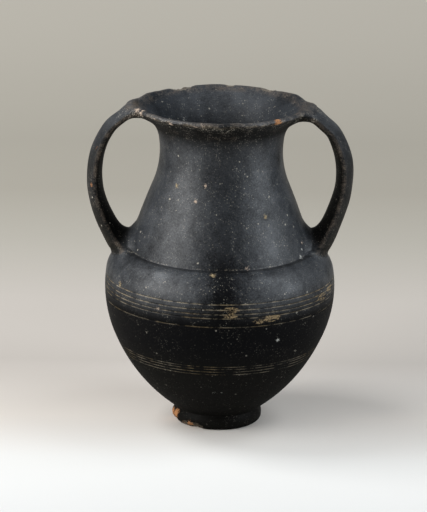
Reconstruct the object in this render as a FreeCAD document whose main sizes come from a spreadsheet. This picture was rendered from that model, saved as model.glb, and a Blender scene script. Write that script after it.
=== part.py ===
import FreeCAD, Part
import os

import Sketcher
from FreeCAD import Vector

# Miniature amphora: one piece of black fired clay, thrown on a wheel, with two pulled strap handles
# pressed on between the lip and the shoulder. Millimetres, +Z up, origin at the middle of the foot's
# resting plane. The handles lie along X.

SIZES = {
    # whole vessel
    "height": 115.0,
    "wall": 2.9,
    "neck_wall": 2.3,
    "floor_thickness": 4.2,
    "floor_radius": 6.0,
    # foot ring, turned hollow underneath
    "recess_depth": 2.4,
    "recess_radius": 9.0,
    "ring_inner_radius": 10.6,
    "ring_outer_radius": 14.0,
    "ring_lower_radius": 15.25,
    "ring_lower_height": 1.6,
    "ring_radius": 15.5,
    "ring_height": 3.4,
    "waist_radius": 14.6,
    "waist_height": 5.3,
    # stations of the body, from the foot up to the crease where the neck is set on
    "low_radius": 27.15,
    "low_height": 16.6,
    "middle_radius": 36.1,
    "middle_height": 31.0,
    "belly_radius": 39.6,
    "belly_height": 42.9,
    "shoulder_radius": 39.6,
    "shoulder_height": 56.0,
    "bend_radius": 37.3,
    "bend_height": 61.1,
    "crease_radius": 32.0,
    "crease_height": 63.9,
    # stations of the neck: each lies a share of the way from the crease up to the crest of the lip
    "collar_radius": 28.3,
    "collar_share": 0.2231,
    "collar_height": "=crease_height + collar_share * (height - crease_height)",
    "slope_radius": 24.0,
    "slope_share": 0.4423,
    "slope_height": "=crease_height + slope_share * (height - crease_height)",
    "throat_radius": 21.7,
    "throat_share": 0.6106,
    "throat_height": "=crease_height + throat_share * (height - crease_height)",
    "narrow_radius": 21.9,
    "narrow_share": 0.7847,
    "narrow_height": "=crease_height + narrow_share * (height - crease_height)",
    "flare_radius": 24.7,
    "flare_share": 0.9002,
    "flare_height": "=crease_height + flare_share * (height - crease_height)",
    # lip
    "lip_radius": 29.9,
    "lip_drop": 1.2,
    "crest_radius": 28.9,
    "mouth_radius": 27.6,
    "mouth_drop": 0.7,
    # lines cut into the turning vessel with a point
    "line_depth": 0.32,
    "line_width": 0.62,
    "crease_line_depth": 0.35,
    "crease_line_sweep": 128.0,
    "upper_line_height": 54.2,
    "upper_line_pitch": 1.85,
    "upper_lines": 4,
    "single_line_height": 46.1,
    "lower_line_height": 30.2,
    "lower_line_pitch": 1.15,
    "lower_lines": 4,
    # strap handles: widths along Y, thickness across the strap. The upper stations hang a drop below
    # the crest and the root lies a drop below the crease; reach and flank share the way between. The
    # heel is the clay smoothed up from the root on to the neck, which rounds the bottom of the loop.
    "lip_end_width": 17.0,
    "strap_width": 15.4,
    "root_width": 19.0,
    "strap_edge": 0.6,
    "strap_crown": 0.57,
    "lip_end_crown": 0.45,
    "heel_round": 5.2,
    "heel_spread": 60.0,
    "heel_width": 13.0,
    "heel_fall": 3.2,
    "heel_sink": 1.2,
    "root_crown": 0.36,
    "mouth_rise": 1.0,
    "mouth_run": 9.0,
    "left_start_radius": 23.5,
    "left_start_drop": 1.1,
    "left_start_height": "=height - left_start_drop",
    "left_start_thickness": 4.4,
    "left_turn_radius": 34.2,
    "left_turn_drop": 4.2,
    "left_turn_height": "=height - left_turn_drop",
    "left_haunch_radius": 39.6,
    "left_haunch_drop": 10.0,
    "left_haunch_height": "=height - left_haunch_drop",
    "left_haunch_thickness": 4.7,
    "left_root_radius": 30.5,
    "left_root_drop": 5.1,
    "left_root_height": "=crease_height - left_root_drop",
    "left_root_thickness": 13.0,
    "left_reach_radius": 43.9,
    "left_reach_share": 0.6645,
    "left_reach_height": "=left_root_height + left_reach_share * (left_haunch_height - left_root_height)",
    "left_reach_thickness": 5.3,
    "left_flank_radius": 39.2,
    "left_flank_share": 0.2814,
    "left_flank_height": "=left_root_height + left_flank_share * (left_haunch_height - left_root_height)",
    "left_flank_thickness": 6.7,
    "left_heel_radius": 33.2,
    "left_heel_rise": 7.1,
    "right_start_radius": 23.5,
    "right_start_drop": 2.0,
    "right_start_height": "=height - right_start_drop",
    "right_start_thickness": 5.2,
    "right_turn_radius": 34.9,
    "right_turn_drop": 5.6,
    "right_turn_height": "=height - right_turn_drop",
    "right_haunch_radius": 39.8,
    "right_haunch_drop": 11.5,
    "right_haunch_height": "=height - right_haunch_drop",
    "right_haunch_thickness": 5.7,
    "right_root_radius": 30.0,
    "right_root_drop": 6.4,
    "right_root_height": "=crease_height - right_root_drop",
    "right_root_thickness": 13.0,
    "right_reach_radius": 43.2,
    "right_reach_share": 0.7065,
    "right_reach_height": "=right_root_height + right_reach_share * (right_haunch_height - right_root_height)",
    "right_reach_thickness": 6.1,
    "right_flank_radius": 37.2,
    "right_flank_share": 0.2674,
    "right_flank_height": "=right_root_height + right_flank_share * (right_haunch_height - right_root_height)",
    "right_flank_thickness": 7.2,
    "right_heel_radius": 32.6,
    "right_heel_rise": 7.1,
    # chips knocked out of the lip's crest and the foot's lower edge: where each lies round the axis,
    # counted from the right handle by way of the back, how wide it is and how deep it goes
    "left_lip_chip_angle": 121.0,
    "left_lip_chip_width": 7.8,
    "left_lip_chip_depth": 0.9,
    "middle_lip_chip_angle": 84.5,
    "middle_lip_chip_width": 3.2,
    "middle_lip_chip_depth": 0.5,
    "right_lip_chip_angle": 55.0,
    "right_lip_chip_width": 5.0,
    "right_lip_chip_depth": 0.7,
    "left_foot_chip_angle": 196.0,
    "left_foot_chip_width": 4.6,
    "left_foot_chip_depth": 0.8,
    "front_foot_chip_angle": 239.0,
    "front_foot_chip_width": 6.4,
    "front_foot_chip_depth": 0.8,
}

doc = FreeCAD.newDocument("amphora")
sheet = doc.addObject("Spreadsheet::Sheet", "Sizes")
for row, (name, value) in enumerate(SIZES.items(), start=1):
    sheet.set(f"A{row}", name)
    sheet.set(f"B{row}", str(value))
    sheet.setAlias(f"B{row}", name)
doc.recompute()

body = doc.addObject("PartDesign::Body", "Amphora")
body.Label = "amphora"


def size(expression):
    """Number that a sheet expression gives, in millimetres."""
    return float(sheet.evalExpression(expression))


def station(name):
    """Radius and height of a named station of the profile, as sheet expressions."""
    return (f"Sizes.{name}_radius", f"Sizes.{name}_height")


def spot(place):
    """Point of a sketch for a pair of sheet expressions."""
    return Vector(size(place[0]), size(place[1]), 0)


def new_sketch(name, role="XZ_Plane"):
    """Empty sketch on one of the body's own origin planes."""
    sketch = body.newObject("Sketcher::SketchObject", name)
    plane = [item for item in body.Origin.OriginFeatures if item.Role == role][0]
    sketch.AttachmentSupport = [(plane, "")]
    sketch.MapMode = "FlatFace"
    sketch.Visibility = False
    return sketch


def hold(sketch, geometry, vertex, place):
    """Fix a point of the sketch at a pair of sheet expressions."""
    for kind, expression in zip(("DistanceX", "DistanceY"), place):
        value = size(expression)
        index = sketch.addConstraint(Sketcher.Constraint(kind, -1, 1, geometry, vertex, value))
        sketch.setExpression(f"Constraints[{index}]", expression)


def add_line(sketch, *places):
    """Straight edges from place to place."""
    for start, end in zip(places, places[1:]):
        index = sketch.addGeometry(Part.LineSegment(spot(start), spot(end)), False)
        hold(sketch, index, 1, start)
        hold(sketch, index, 2, end)


def add_arc(sketch, start, through, end, guide=False):
    """Arc from a place through the next to the last; gives its index, its curve and its ends."""
    first, middle, last = spot(start), spot(through), spot(end)
    arc = Part.Arc(first, middle, last)
    index = sketch.addGeometry(arc, guide)
    clockwise = (middle - first).cross(last - middle).z < 0
    near, far = (2, 1) if clockwise else (1, 2)
    hold(sketch, index, near, start)
    hold(sketch, index, far, end)
    mark = sketch.addGeometry(Part.Point(middle), True)
    hold(sketch, mark, 1, through)
    sketch.addConstraint(Sketcher.Constraint("PointOnObject", mark, 1, index))
    return index, arc, near, far


def add_bands(sketch, counts, *places):
    """Chain of arcs, each from one place through the next to the one after, as equal flats on it."""
    bands = []
    for count, start, through, end in zip(counts, places[::2], places[1::2], places[2::2]):
        guide, arc, near, far = add_arc(sketch, start, through, end, guide=True)
        step = (arc.LastParameter - arc.FirstParameter) / count
        corners = [arc.value(arc.FirstParameter + step * corner) for corner in range(count + 1)]
        pairs = list(zip(corners, corners[1:]))
        flats = [sketch.addGeometry(Part.LineSegment(*pair), False) for pair in pairs]
        for before, behind in zip(flats, flats[1:]):
            sketch.addConstraint(Sketcher.Constraint("Coincident", before, 2, behind, 1))
            sketch.addConstraint(Sketcher.Constraint("PointOnObject", behind, 1, guide))
            sketch.addConstraint(Sketcher.Constraint("Equal", before, behind))
        sketch.addConstraint(Sketcher.Constraint("Coincident", flats[0], 1, guide, near))
        sketch.addConstraint(Sketcher.Constraint("Coincident", flats[-1], 2, guide, far))
        bands += pairs
    return bands


def turn(kind, name, sketch):
    """Full turn of a sketch about the vertical axis."""
    feature = body.newObject(kind, name)
    feature.Profile = sketch
    feature.ReferenceAxis = (sketch, ["V_Axis"])
    feature.Angle = 360
    doc.recompute()
    return feature


# Outside of the vessel as one solid: foot ring, body, neck and lip. The body follows three arcs, the
# neck three more, and each runs into the next with almost no corner; the crease between them is
# sharp. Narrow flats stand for the arcs, at most 0.15 mm inside them, to keep the facets few.
AXIS = "0"
GROUND = "0"
recess_top = (AXIS, "Sizes.recess_depth")
recess_edge = ("Sizes.recess_radius", "Sizes.recess_depth")
ring_inside = ("Sizes.ring_inner_radius", GROUND)
ring_outside = ("Sizes.ring_outer_radius", GROUND)
crest = ("Sizes.crest_radius", "Sizes.height")
crest_axis = (AXIS, "Sizes.height")
lip_edge = ("Sizes.lip_radius", "Sizes.height - Sizes.lip_drop")
lip_corner = (
    "Sizes.crest_radius + (Sizes.lip_radius - Sizes.crest_radius) * sqrt(0.5)",
    "Sizes.height - Sizes.lip_drop * (1 - sqrt(0.5))",
)
BODY_STATIONS = ("waist", "low", "middle", "belly", "shoulder", "bend", "crease")
BODY_BANDS = (5, 4, 4)
NECK_STATIONS = ("crease", "collar", "slope", "throat", "narrow", "flare")
NECK_BANDS = (2, 3, 4)

outside = new_sketch("Outside")
add_line(outside, recess_top, recess_edge, ring_inside, ring_outside, station("ring_lower"))
add_line(outside, station("ring_lower"), station("ring"), station("waist"))
bands = add_bands(outside, BODY_BANDS, *[station(name) for name in BODY_STATIONS])
bands += add_bands(outside, NECK_BANDS, *[station(name) for name in NECK_STATIONS], lip_edge)
add_line(outside, lip_edge, lip_corner, crest, crest_axis, recess_top)
turn("PartDesign::Revolution", "Vessel", outside)


# Strap handles: a lens-shaped section carried along a smooth bow from the lip to the shoulder. It
# swells where it is pressed on to the shoulder.
STRAP_STATIONS = ("start", "turn", "haunch", "reach", "flank", "root")
STRAP_SECTIONS = {
    "start": ("lip_end_width", "lip_end_crown"),
    "haunch": ("strap_width", "strap_crown"),
    "reach": ("strap_width", "strap_crown"),
    "flank": ("strap_width", "strap_crown"),
    "root": ("root_width", "root_crown"),
}


def strap_path(name, places):
    """Sketch with one smooth curve through the places, and how far along it each place lies."""
    sketch = new_sketch(name)
    curve = Part.BSplineCurve()
    curve.interpolate([spot(place) for place in places])
    first = sketch.addGeometry(curve, False)
    sketch.exposeInternalGeometry(first)
    knots = [
        index
        for index in range(first, sketch.GeometryCount)
        if sketch.Geometry[index].TypeId == "Part::GeomPoint"
    ]
    for index, place in zip(knots, places):
        hold(sketch, index, 1, place)
    shares = [curve.parameter(spot(place)) / curve.LastParameter for place in places]
    return sketch, shares


def strap_section(name, path, along, width, thickness, crown_share):
    """Lens of two arcs, outward and inward, with blunt edges; X points away from the vessel."""
    sketch = body.newObject("Sketcher::SketchObject", name)
    sketch.AttachmentSupport = [(path, "Edge1")]
    sketch.MapMode = "FrenetNB"
    sketch.MapPathParameter = along
    sketch.Visibility = False
    edge = "Sizes.strap_edge"
    half = f"({width} / 2)"
    crowns = (f"({thickness} * {crown_share})", f"({thickness} * (1 - {crown_share}))")
    for side, crown in zip((1, -1), crowns):
        rise = f"({crown} - {edge})"
        radius = f"(({half}^2 + {rise}^2) / (2 * {rise}))"
        start = (f"{side} * {edge}", f"{-side} * {half}")
        end = (f"{side} * {edge}", f"{side} * {half}")
        top = (f"{side} * {crown}", "0")
        index = sketch.addGeometry(Part.Arc(spot(start), spot(top), spot(end)), False)
        hold(sketch, index, 3, (f"{side} * ({crown} - {radius})", "0"))
        hold(sketch, index, 1, start)
        reach = sketch.addConstraint(
            Sketcher.Constraint("DistanceY", -1, 1, index, 2, size(end[1]))
        )
        sketch.setExpression(f"Constraints[{reach}]", end[1])
    for side, (near, far) in ((1, (0, 1)), (-1, (1, 0))):
        corners = [spot((f"{share * side} * {edge}", f"{side} * {half}")) for share in (1, -1)]
        index = sketch.addGeometry(Part.LineSegment(*corners), False)
        sketch.addConstraint(Sketcher.Constraint("Coincident", index, 1, near, 2))
        sketch.addConstraint(Sketcher.Constraint("Coincident", index, 2, far, 1))
    return sketch


def heel_outline(side, sign, aside, fall):
    """Outline of the heel on a plane aside of the middle one, its hollow top lower by the fall."""
    across = f"Sizes.{side}_heel_radius"
    level = f"(Sizes.crease_height + Sizes.{side}_heel_rise - {fall})"
    lift = f"Sizes.heel_round * (1 - cos(Sizes.heel_spread))"
    reach = f"Sizes.heel_round * sin(Sizes.heel_spread)"
    inner = (f"{sign} * ({across} - {reach})", f"{level} + {lift}")
    bottom = (f"{sign} * {across}", level)
    outer = (f"{sign} * ({across} + {reach})", f"{level} + {lift}")
    outline = new_sketch(f"{side}_heel_{len(body.Group)}")
    outline.setExpression("AttachmentOffset.Base.z", aside)
    doc.recompute()
    add_arc(outline, inner, bottom, outer)
    add_line(
        outline,
        inner,
        (f"{inner[0]} - {sign} * Sizes.heel_sink", inner[1]),
        (f"{sign} * (Sizes.crease_radius - Sizes.heel_sink)", "Sizes.crease_height"),
        (f"{sign} * Sizes.crease_radius", "Sizes.crease_height - Sizes.heel_sink"),
        (f"{outer[0]} + {sign} * Sizes.heel_sink", outer[1]),
        outer,
    )
    return outline


for side, sign in (("left", "-1"), ("right", "1")):
    stations = [station(f"{side}_{name}") for name in STRAP_STATIONS]
    path, shares = strap_path(f"{side}_path", [(f"{sign} * {out}", up) for out, up in stations])
    doc.recompute()
    sections = [
        strap_section(
            f"{side}_{name}_section",
            path,
            share,
            f"Sizes.{STRAP_SECTIONS[name][0]}",
            f"Sizes.{side}_{name}_thickness",
            f"Sizes.{STRAP_SECTIONS[name][1]}",
        )
        for name, share in zip(STRAP_STATIONS, shares)
        if name in STRAP_SECTIONS
    ]
    strap = body.newObject("PartDesign::AdditivePipe", f"{side}_strap")
    strap.Profile = sections[0]
    strap.Spine = (path, ["Edge1"])
    strap.Transformation = "Multisection"
    strap.Sections = sections[1:]
    strap.Mode = "Frenet"
    doc.recompute()

    outlines = [
        heel_outline(side, sign, f"{share} * Sizes.heel_width / 2", f"{abs(share)} * Sizes.heel_fall")
        for share in (-1, 0, 1)
    ]
    heel = body.newObject("PartDesign::AdditiveLoft", f"{side}_heel")
    heel.Profile = outlines[0]
    heel.Sections = outlines[1:]
    heel.Ruled = True
    doc.recompute()


# Lines cut with a point while the vessel turned: each is a shallow V square to the wall
def wall_at(height):
    """Point of the outside at a height, and the outward direction there."""
    low, high = [band for band in bands if band[0].y <= height <= band[1].y][0]
    up = high - low
    outward = Vector(up.y, -up.x, 0)
    return low + up * ((height - low.y) / up.y), outward.normalize()


def cut_line(sketch, height):
    """V-shaped section of one line, open to the outside."""
    point, outward = wall_at(size(height))
    along = Vector(-outward.y, outward.x, 0)
    places = []
    for depth, share in ((-1, 0), (1, 1), (1, -1), (-1, 0)):
        places.append(
            tuple(
                f"{at:.6f} + {depth * out:.6f} * Sizes.line_depth + {share * up:.6f} * Sizes.line_width"
                for at, out, up in ((point.x, outward.x, along.x), (point.y, outward.y, along.y))
            )
        )
    add_line(sketch, *places)


lines = new_sketch("Lines")
for index in range(round(size("Sizes.upper_lines"))):
    cut_line(lines, f"Sizes.upper_line_height - {index} * Sizes.upper_line_pitch")
cut_line(lines, "Sizes.single_line_height")
for index in range(round(size("Sizes.lower_lines"))):
    cut_line(lines, f"Sizes.lower_line_height - {index} * Sizes.lower_line_pitch")
turn("PartDesign::Groove", "Incised_lines", lines)


# Line scored into the crease, front and back, stopping short of the handles
scored = new_sketch("Crease_line", "YZ_Plane")
for facing in (-1, 1):
    deep = (f"{facing} * (Sizes.crease_radius - Sizes.crease_line_depth)", "Sizes.crease_height")
    low = (f"{facing} * (Sizes.crease_radius + Sizes.line_width)", "Sizes.crease_height - Sizes.line_width")
    high = (f"{facing} * (Sizes.crease_radius + Sizes.line_width)", "Sizes.crease_height + Sizes.line_width")
    add_line(scored, deep, low, high, deep)
crease = turn("PartDesign::Groove", "Crease_lines", scored)
crease.Midplane = True
crease.Angle = size("Sizes.crease_line_sweep")
crease.setExpression("Angle", "Sizes.crease_line_sweep")
doc.recompute()


# Hollow inside, drawn down from the mouth; it also trims the straps flush with the lip. The wall is
# measured square to the slope of the outside, and the floor lies above the foot's recess. The inside
# was never smoothed, so it is left as the flats between its stations.
def inner_station(before, name, after, wall):
    """A station of the outside moved inwards by the wall."""
    slope = f"({after[0]} - {before[0]}) / ({after[1]} - {before[1]})"
    radius, height = station(name)
    return (f"{radius} - {wall} * sqrt(1 + ({slope})^2)", height)


def inner_stations(names, wall, after):
    """Inner stations between the first of the names and the place that follows the last."""
    places = [station(name) for name in names] + [after]
    return [
        inner_station(before, name, behind, wall)
        for before, name, behind in zip(places, names[1:], places[2:])
    ]


floor_axis = (AXIS, "Sizes.recess_depth + Sizes.floor_thickness")
floor_edge = ("Sizes.floor_radius", "Sizes.recess_depth + Sizes.floor_thickness")
mouth = ("Sizes.mouth_radius", "Sizes.height - Sizes.mouth_drop")
trim_edge = ("Sizes.crest_radius + Sizes.mouth_run", "Sizes.height + Sizes.mouth_rise")
trim_top = ("Sizes.crest_radius + Sizes.mouth_run", "Sizes.height + Sizes.mouth_run")
trim_axis = (AXIS, "Sizes.height + Sizes.mouth_run")
inner_body = inner_stations(BODY_STATIONS, "Sizes.wall", station("collar"))
inner_neck = inner_stations(NECK_STATIONS, "Sizes.neck_wall", lip_edge)

hollow = new_sketch("Hollow")
add_line(hollow, floor_axis, floor_edge, *inner_body)
add_line(hollow, inner_body[-1], *inner_neck, mouth)
add_line(hollow, mouth, crest, trim_edge, trim_top, trim_axis, floor_axis)
turn("PartDesign::Groove", "Inside", hollow)


# Chips, each the shallow hollow that a ball leaves: the lip's are knocked down from the crest, the
# foot's slantwise from the lower edge of the ring
def knock_chip(name, radius, height, lean):
    """Hollow at a place of the rim; lean tips the ball outwards, in degrees from straight above."""
    depth = f"Sizes.{name}_chip_depth"
    angle = f"Sizes.{name}_chip_angle"
    ball = f"(((Sizes.{name}_chip_width / 2)^2 + {depth}^2) / (2 * {depth}))"
    out = f"({radius} + ({ball} - {depth}) * sin({lean}))"
    up = f"({height} + ({ball} - {depth}) * cos({lean}))"
    chip = body.newObject("PartDesign::SubtractiveSphere", f"{name}_chip")
    ground = [item for item in body.Origin.OriginFeatures if item.Role == "XY_Plane"][0]
    chip.AttachmentSupport = [(ground, "")]
    chip.MapMode = "FlatFace"
    chip.AttachmentOffset = FreeCAD.Placement(Vector(), FreeCAD.Rotation(Vector(1, 0, 0), 90))
    chip.setExpression("Radius", ball)
    chip.setExpression("AttachmentOffset.Base.x", f"{out} * cos({angle})")
    chip.setExpression("AttachmentOffset.Base.y", f"{out} * sin({angle})")
    chip.setExpression("AttachmentOffset.Base.z", up)
    doc.recompute()


for name in ("left_lip", "middle_lip", "right_lip"):
    knock_chip(name, "Sizes.crest_radius", "Sizes.height", 0)
for name in ("left_foot", "front_foot"):
    knock_chip(name, "Sizes.ring_outer_radius", GROUND, 135)

broken =[item.Name for item in doc.Objects if {"Invalid", "Error"} & set(item.State)]
if broken:
    raise RuntimeError("features that failed: " + ", ".join(broken))
shape = body.Shape
if shape.isNull() or not shape.isValid() or len(shape.Solids) != 1:
    raise RuntimeError("the amphora is not one valid solid")
print(f"amphora: {shape.Volume:.0f} cubic mm, {len(shape.Faces)} faces, box {shape.BoundBox}")
os.makedirs("parts", exist_ok=True)
shape.exportStep(f"parts/{body.Label}.step")
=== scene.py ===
import math

import bmesh
import bpy
import numpy as np
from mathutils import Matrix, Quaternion, Vector, noise
from mathutils.bvhtree import BVHTree
from mathutils.kdtree import KDTree


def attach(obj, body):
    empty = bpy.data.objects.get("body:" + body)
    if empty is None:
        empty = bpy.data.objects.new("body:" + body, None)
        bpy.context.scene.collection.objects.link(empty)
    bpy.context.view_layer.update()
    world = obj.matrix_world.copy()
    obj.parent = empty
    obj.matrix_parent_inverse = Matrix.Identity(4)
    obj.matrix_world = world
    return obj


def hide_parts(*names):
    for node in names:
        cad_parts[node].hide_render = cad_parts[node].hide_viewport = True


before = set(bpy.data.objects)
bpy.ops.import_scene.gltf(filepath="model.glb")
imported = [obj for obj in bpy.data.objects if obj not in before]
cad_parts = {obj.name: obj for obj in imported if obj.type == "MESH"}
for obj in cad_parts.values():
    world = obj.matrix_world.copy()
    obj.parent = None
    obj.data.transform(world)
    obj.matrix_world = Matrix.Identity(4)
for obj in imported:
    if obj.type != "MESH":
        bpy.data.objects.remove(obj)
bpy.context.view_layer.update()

# The wall of the vessel: foot ring, body, neck and lip, thrown in one on a wheel. Its half section is
# a run of arcs through measured stations, and the inside follows the outside at the wall's thickness.
MM = 0.001
HEIGHT = 115.0
RECESS = [(0.0, 2.4), (9.0, 2.4), (10.6, 0.0), (14.0, 0.0)]
FOOT_RING = [(14.0, 0.0), (15.1, 0.7), (15.5, 2.0), (15.5, 3.3), (14.6, 5.3)]
BODY = [(14.6, 5.3), (27.15, 16.6), (36.1, 31.0), (39.75, 42.9), (39.9, 55.8), (37.5, 61.0), (32.0, 63.9)]
NECK = [(32.0, 63.9), (28.3, 75.3), (24.0, 86.5), (21.7, 95.1), (21.9, 104.0), (24.7, 109.9), (29.9, 113.8)]
LIP = [(29.9, 113.8), (29.75, 114.65), (28.9, 115.0), (28.1, 114.85), (27.6, 114.3)]
FLOOR = [(9.0, 7.3), (0.0, 6.6)]
BODY_WALL = 2.9
NECK_WALL = 2.3
LIP_WALL = 1.45
LIP_WALL_FROM = 100.0
WALL_CHANGE = (60.0, 66.0)
INSIDE_TOP = 112.4
INSIDE_THINNING = 40
INSIDE_SOFTENING = 61
FLOOR_ROUNDING = 1.0
FINE_STEP = 0.02
SEGMENTS = 240

# steps between the rows of the mesh, on the wall, the foot ring, the lip and the inside
ROW_STEP = 1.25
RING_ROW_STEP = 0.55
LIP_ROW_STEP = 0.3
INSIDE_ROW_STEP = 2.0
RING_ROWS_BEYOND = 1.0
LIP_ROWS_BEYOND = (2.0, 1.5)

# heights of the lines that a point cut into the turning vessel, and the crease where the neck begins
UPPER_LINES = [54.2, 52.35, 50.7, 49.3]
SINGLE_LINE = [46.1]
LOWER_LINES = [30.3, 29.35, 28.2, 27.05]
LINE_HALF_WIDTH = 0.3
LINE_DEPTH = 0.34
LINE_ROWS = [-0.42, -0.3, -0.15, 0.0, 0.15, 0.3, 0.42]
LINE_CLEARING = 0.75
LINE_ROW_GAP = 0.3
LINES_ABOVE = 4.0
CREASE_ROWS = [-0.6, -0.35, 0.0, 0.35, 0.6]


def circle_through(first, middle, last):
    """Centre and radius of the circle through three points of the half section."""
    (ax, ay), (bx, by), (cx, cy) = first, middle, last
    turn = 2 * (ax * (by - cy) + bx * (cy - ay) + cx * (ay - by))
    a, b, c = ax * ax + ay * ay, bx * bx + by * by, cx * cx + cy * cy
    x = (a * (by - cy) + b * (cy - ay) + c * (ay - by)) / turn
    y = (a * (cx - bx) + b * (ax - cx) + c * (bx - ax)) / turn
    return np.array([x, y]), math.hypot(ax - x, ay - y)


def arc(first, middle, last):
    """Fine points from first round to last, through middle."""
    centre, radius = circle_through(first, middle, last)
    angles = [math.atan2(p[1] - centre[1], p[0] - centre[0]) for p in (first, middle, last)]
    angles = np.unwrap(angles)
    count = max(4, int(abs(angles[2] - angles[0]) * radius / FINE_STEP))
    sweep = np.linspace(angles[0], angles[2], count)
    return centre + radius * np.stack([np.cos(sweep), np.sin(sweep)], 1)


def arcs(stations):
    """Fine points along a chain of arcs, each from one station through the next to the one after."""
    parts = [arc(*stations[i : i + 3]) for i in range(0, len(stations) - 2, 2)]
    return np.concatenate([part[:-1] for part in parts] + [parts[-1][-1:]])


def straight(stations):
    """Fine points along straight runs."""
    runs = []
    for start, end in zip(stations, stations[1:]):
        count = max(2, int(math.dist(start, end) / FINE_STEP))
        runs.append(np.linspace(start, end, count)[:-1])
    return np.concatenate(runs + [np.array([stations[-1]])])


def outward(points):
    """Direction square to a fine line of points, to its right as it runs."""
    run = np.gradient(points, axis=0)
    side = np.stack([run[:, 1], -run[:, 0]], 1)
    return side / np.linalg.norm(side, axis=1)[:, None]


body_line = arcs(BODY)
neck_line = arcs(NECK)
wall_line = np.concatenate([body_line[:-1], neck_line])
wall_heights = [*WALL_CHANGE, LIP_WALL_FROM, HEIGHT]
wall_at = np.interp(wall_line[:, 1], wall_heights, [BODY_WALL, NECK_WALL, NECK_WALL, LIP_WALL])
inside = (wall_line - outward(wall_line) * wall_at[:, None])[::-1]
inside = inside[(inside[:, 1] < INSIDE_TOP) & (inside[:, 1] > FLOOR[0][1] + FLOOR_ROUNDING)]
inside = straight([tuple(p) for p in np.concatenate([[LIP[-1]], inside[::INSIDE_THINNING], FLOOR])])
blur = np.ones(INSIDE_SOFTENING) / INSIDE_SOFTENING
padded = np.pad(inside, ((INSIDE_SOFTENING // 2,) * 2, (0, 0)), mode="edge")
inside = np.stack([np.convolve(padded[:, k], blur, mode="valid") for k in range(2)], 1)
outside = np.concatenate(
    [straight(RECESS)[:-1], arcs(FOOT_RING)[:-1], wall_line[:-1], arcs(LIP)[:-1]]
)
section = np.concatenate([outside, inside])
section[-1, 0] = 0.0


def row_places():
    """Places along the section, as lengths, where the mesh has a row, and how deep a line is there."""
    steps = np.linalg.norm(np.diff(section, axis=0), axis=1)
    along = np.concatenate([[0], np.cumsum(steps)])
    rows = {}
    lip_start = along[len(outside) - len(arcs(LIP)) + 1]
    lip_end = along[len(outside)]
    ring_start = along[len(straight(RECESS)) - 1]
    ring_end = along[len(straight(RECESS)) + len(arcs(FOOT_RING)) - 2]
    place = 0.0
    while place < along[-1]:
        rows[place] = 0.0
        if ring_start - RING_ROWS_BEYOND < place < ring_end + RING_ROWS_BEYOND:
            step = RING_ROW_STEP
        elif lip_start - LIP_ROWS_BEYOND[0] < place < lip_end + LIP_ROWS_BEYOND[1]:
            step = LIP_ROW_STEP
        elif place > lip_end:
            step = INSIDE_ROW_STEP
        else:
            step = ROW_STEP
        place += step
    outer = along < lip_start
    heights = np.where(outer & (section[:, 1] > LINES_ABOVE), section[:, 1], -1)
    for height in UPPER_LINES + SINGLE_LINE + LOWER_LINES:
        at = along[int(np.argmax(heights >= height))]
        near = [place for place in rows if abs(place - at) < LINE_CLEARING]
        for place in near:
            if rows[place] == 0.0 and min(abs(place - at - shift) for shift in LINE_ROWS) < LINE_ROW_GAP:
                del rows[place]
        for shift in LINE_ROWS:
            rows[at + shift] = max(0.0, 1 - abs(shift) / LINE_HALF_WIDTH)
    crease = along[len(straight(RECESS)) + len(arcs(FOOT_RING)) + len(body_line) - 3]
    for shift in CREASE_ROWS:
        rows[crease + shift] = 0.0
    places = np.array(sorted(rows))
    depth = np.array([rows[place] for place in places])
    return places, depth, along


def section_object(name):
    """The half section as a loose line of vertices, with what the wheel tree reads from each."""
    places, depth, along = row_places()
    normal = outward(section)
    data = bpy.data.meshes.new(name)
    points = np.stack([np.interp(places, along, section[:, k]) for k in range(2)], 1)
    sides = np.stack([np.interp(places, along, normal[:, k]) for k in range(2)], 1)
    points[0, 0] = points[-1, 0] = 0.0
    data.from_pydata([(r * MM, 0.0, z * MM) for r, z in points], [], [])
    line = data.attributes.new("line", "FLOAT", "POINT")
    line.data.foreach_set("value", depth)
    out = data.attributes.new("out", "FLOAT_VECTOR", "POINT")
    out.data.foreach_set("vector", np.stack([sides[:, 0], np.zeros(len(sides)), sides[:, 1]], 1).ravel())
    piece = bpy.data.objects.new(name, data)
    bpy.context.scene.collection.objects.link(piece)
    return piece, len(points)


class Wire:
    """An output of a node tree; plain arithmetic on it adds Math nodes."""

    def __init__(self, nodes, socket):
        self.nodes = nodes
        self.socket = socket

    def __add__(self, other):
        return self.nodes.math("ADD", self, other)

    def __sub__(self, other):
        return self.nodes.math("SUBTRACT", self, other)

    def __rsub__(self, other):
        return self.nodes.math("SUBTRACT", other, self)

    def __mul__(self, other):
        return self.nodes.math("MULTIPLY", self, other)

    def __truediv__(self, other):
        return self.nodes.math("DIVIDE", self, other)

    def also(self, name):
        """Another output of the same node."""
        return Wire(self.nodes, self.socket.node.outputs[name])


class Nodes:
    """A node tree being built: add() makes any node, math() one that works on numbers."""

    def __init__(self, tree):
        self.tree = tree

    def add(self, kind, settings=None, inputs=None, output=0):
        node = self.tree.nodes.new(kind)
        for name, value in (settings or {}).items():
            if name == "stops":
                self.set_stops(node, value)
            else:
                setattr(node, name, value)
        for key, value in (inputs or {}).items():
            self.feed(node.inputs[key], value)
        return Wire(self, node.outputs[output])

    def feed(self, socket, value):
        if isinstance(value, Wire):
            self.tree.links.new(value.socket, socket)
        else:
            socket.default_value = value

    def math(self, operation, *values, clamp=False):
        settings = {"operation": operation, "use_clamp": clamp}
        return self.add("ShaderNodeMath", settings, dict(enumerate(values)))

    def set_stops(self, node, stops):
        ramp = node.color_ramp
        while len(ramp.elements) < len(stops):
            ramp.elements.new(0.5)
        for element, (place, color) in zip(ramp.elements, stops):
            element.position = place
            element.color = color


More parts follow.
